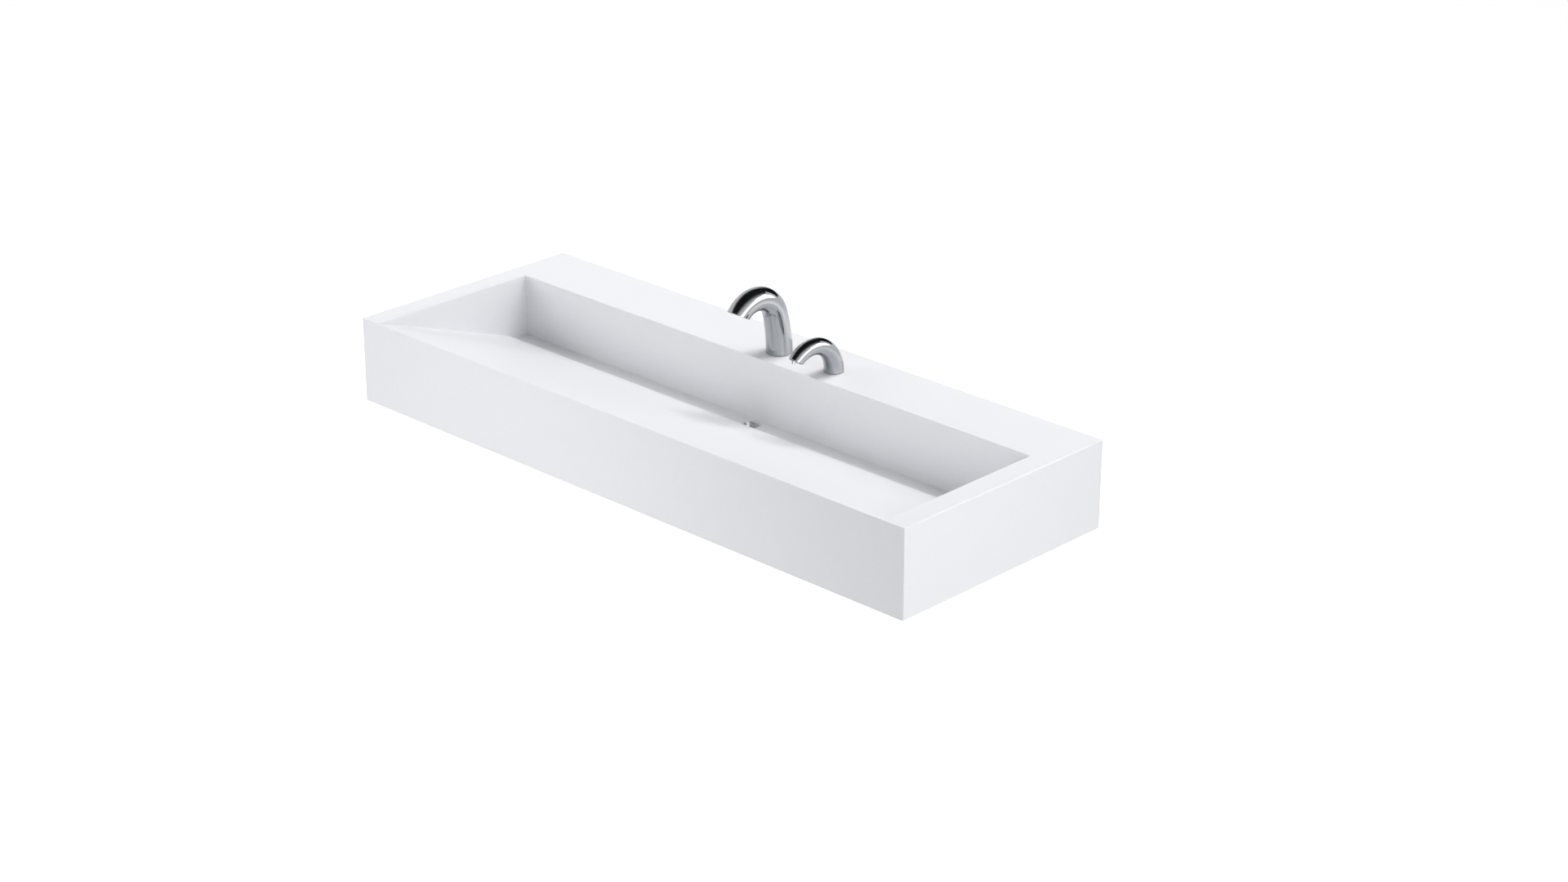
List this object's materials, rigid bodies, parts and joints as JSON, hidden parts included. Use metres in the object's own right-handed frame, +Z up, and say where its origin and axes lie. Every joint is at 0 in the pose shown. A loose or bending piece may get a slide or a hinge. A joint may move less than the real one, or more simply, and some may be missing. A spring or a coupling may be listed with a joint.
{
  "type": "trough sink",
  "caption": "Wall-hung trough sink of bonded solid-surface sheet: a full-length slope falls to a rear channel with a drain; sensor gooseneck tap and matching soap spout on the ledge.",
  "frame": {"origin": "on the wall's face, midway between the four wall bolts", "axes": "+X to the right along the trough, +Y into the wall, +Z up"},
  "size_m": [1.524, 0.5715, 0.4261],
  "materials": {
    "solid_surface": "fine matte satin, bonded sheet",
    "coated_steel": "grey powder coat",
    "coated_aluminium": "white-grey powder coat",
    "stainless_steel": "plain, brushed",
    "chrome": "polished plate",
    "brass": "turned",
    "rubber": "matt black",
    "grey_plastic": "moulded",
    "black_plastic": "moulded, smooth",
    "white_plastic": "moulded",
    "bottle_plastic": "translucent blow-moulded",
    "circuit_board": "laminate with varnish",
    "red_plastic": "moulded"
  },
  "bodies": {
    "root": {"deck_sheet": "solid_surface", "slope_sheet": "solid_surface", "basin_back": "solid_surface", "basin_left": "solid_surface", "basin_right": "solid_surface", "channel_floor": "solid_surface", "front_apron": "solid_surface", "left_apron": "solid_surface", "right_apron": "solid_surface", "bracket_left": "coated_steel", "bracket_right": "coated_steel", "ledge_tube": "coated_steel", "apron_stiffener": "coated_steel", "slope_pads": "rubber", "slope_screws": "stainless_steel", "slope_inserts": "brass", "tap_body": "chrome", "tap_gasket": "rubber", "tap_outlet_plate": "grey_plastic", "tap_aerator": "chrome", "tap_aerator_mesh": "stainless_steel", "sensor_lenses": "black_plastic", "tap_shank": "brass", "tap_washer": "stainless_steel", "tap_nut": "brass", "soap_spout": "chrome", "soap_gasket": "rubber", "soap_outlet_plate": "grey_plastic", "soap_nozzle": "chrome", "soap_shank": "brass", "soap_washer": "stainless_steel", "soap_nut": "white_plastic", "soap_pump": "white_plastic", "drain_body": "chrome", "drain_gasket": "rubber", "drain_locknut": "brass", "drain_tailpiece": "chrome", "drain_slip_nut": "chrome", "hinge_rail": "coated_steel", "hinge_leaves_fixed": "stainless_steel", "hinge_pins": "stainless_steel", "lock_keepers": "coated_steel", "control_plate": "coated_steel", "control_box": "grey_plastic", "box_screws": "stainless_steel", "battery_pack": "black_plastic", "circuit_board": "circuit_board", "door_pin": "stainless_steel", "valve_body": "brass", "valve_coil": "black_plastic", "mixing_valve": "brass"},
    "panel": {"service_panel": "coated_aluminium", "hinge_leaves_moving": "stainless_steel"},
    "lock_left": {"cam_lock_left": "chrome"},
    "lock_right": {"cam_lock_right": "chrome"},
    "strainer": {"drain_strainer": "stainless_steel"},
    "bottle": {"soap_bottle": "bottle_plastic"},
    "battery_door": {"battery_door": "grey_plastic"},
    "plunger": {"valve_plunger": "stainless_steel"},
    "mixing_knob": {"mixing_knob": "red_plastic"}
  },
  "joints": [
    {"name": "panel_swing", "type": "hinge", "parent": "root", "child": "panel", "pos_m": [0, -0.009, -0.0799], "axis": [1, 0, 0], "range_deg": [0, 88]},
    {"name": "lock_left_turn", "type": "hinge", "parent": "panel", "child": "lock_left", "pos_m": [-0.3, -0.142, -0.082], "axis": [0, 0, -1], "range_deg": [0, 90]},
    {"name": "lock_right_turn", "type": "hinge", "parent": "panel", "child": "lock_right", "pos_m": [0.3, -0.142, -0.082], "axis": [0, 0, -1], "range_deg": [0, 90]},
    {"name": "strainer_lift", "type": "slide", "parent": "root", "child": "strainer", "axis": [0, 0, 1], "range_m": [0, 0.06]},
    {"name": "bottle_turn", "type": "hinge", "parent": "root", "child": "bottle", "pos_m": [0.152, -0.102, 0], "axis": [0, 0, 1], "range_deg": [0, 90]},
    {"name": "battery_door_swing", "type": "hinge", "parent": "root", "child": "battery_door", "pos_m": [-0.312, -0.0906, -0.02], "axis": [1, 0, 0], "range_deg": [0, 85]},
    {"name": "plunger_slide", "type": "slide", "parent": "root", "child": "plunger", "axis": [0, 1, 0], "range_m": [0, 0.002], "stiffness_N_per_m": 400, "springref_m": -0.001},
    {"name": "mixing_knob_turn", "type": "hinge", "parent": "root", "child": "mixing_knob", "pos_m": [-0.0815, -0.118, 0.012], "axis": [1, 0, 0], "range_deg": [-120, 120]}
  ]
}
